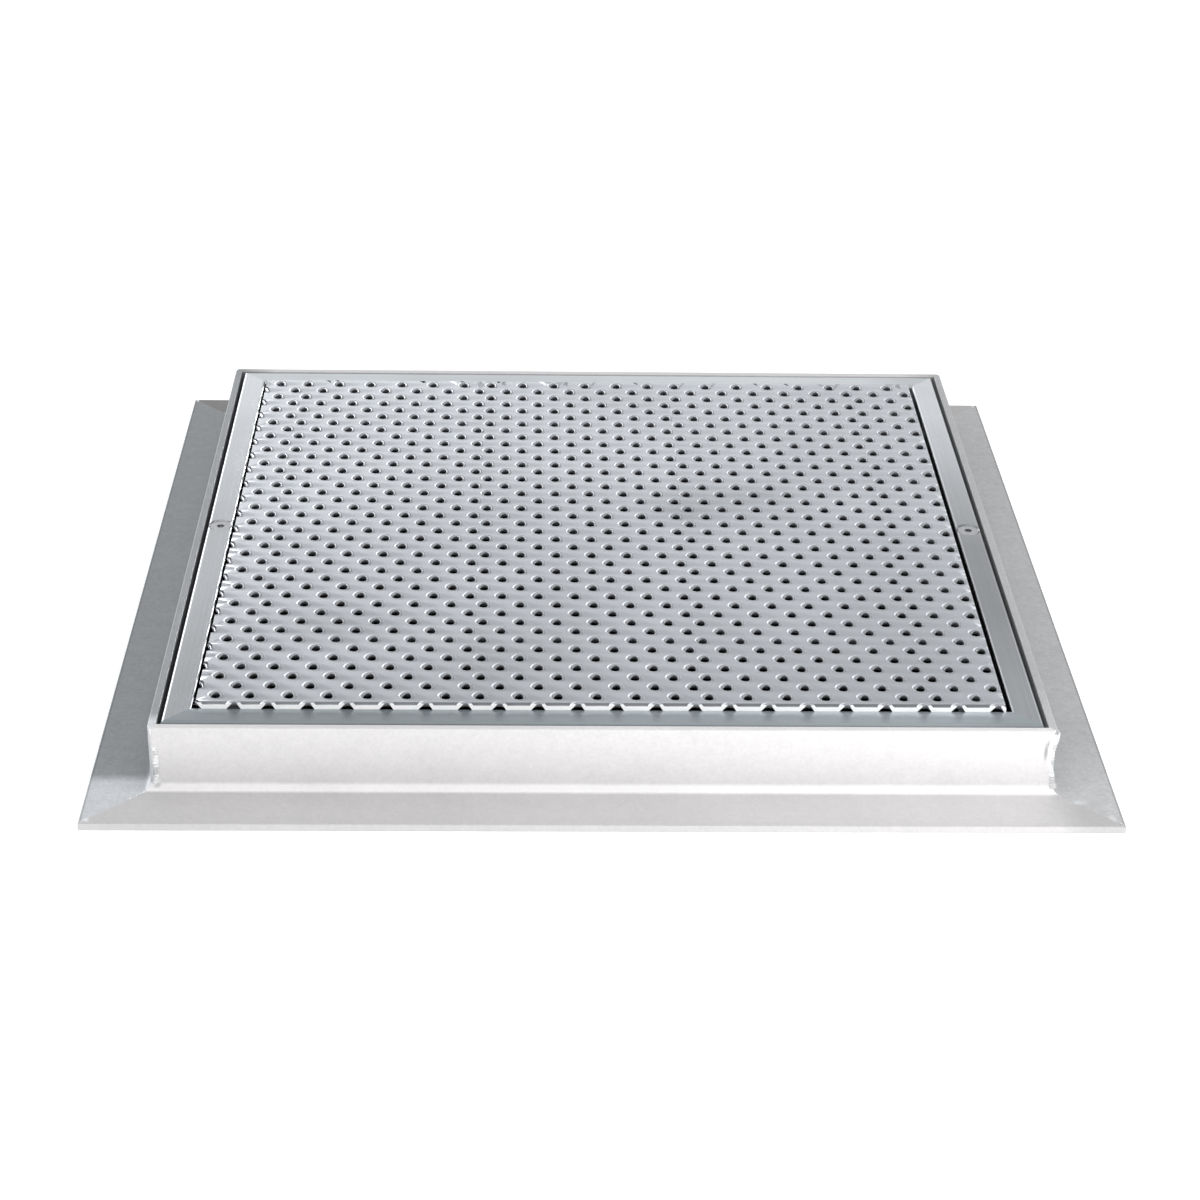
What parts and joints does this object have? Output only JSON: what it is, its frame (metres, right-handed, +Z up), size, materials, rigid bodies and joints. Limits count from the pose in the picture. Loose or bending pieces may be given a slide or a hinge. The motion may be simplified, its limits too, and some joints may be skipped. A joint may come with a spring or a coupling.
{
  "type": "floor grate",
  "caption": "Square floor grate: welded angle curb with an outward flange, and a screwed-down cover frame of square tube that carries an anti-slip sheet with raised pierced collars.",
  "frame": {"origin": "middle of the flange's underside, on the surface that the grate stands on", "axes": "+Z up, out of the floor; -Y is the front; the screws lie on the X axis"},
  "size_m": [0.65, 0.65, 0.055],
  "materials": {
    "curb": "bead-blasted, matte",
    "weld": "rippled weld bead",
    "tube": "drawn, satin",
    "sheet": "rolled, satin",
    "inner": "mill finish",
    "screw": "turned"
  },
  "bodies": {
    "root": {"cover_back": "tube", "cover_front": "tube", "cover_left": "tube", "cover_right": "tube", "cross_bar_back": "inner", "cross_bar_front": "inner", "curb_back": "curb", "curb_front": "curb", "curb_left": "curb", "curb_right": "curb", "lug_left": "inner", "lug_right": "inner", "perforated_sheet": "sheet", "rail_left": "inner", "rail_right": "inner", "screw_left": "screw", "screw_right": "screw", "seat_back": "inner", "seat_front": "inner", "seat_left": "inner", "seat_right": "inner", "weld_back_left": "weld", "weld_back_right": "weld", "weld_front_left": "weld", "weld_front_right": "weld"}
  },
  "joints": []
}
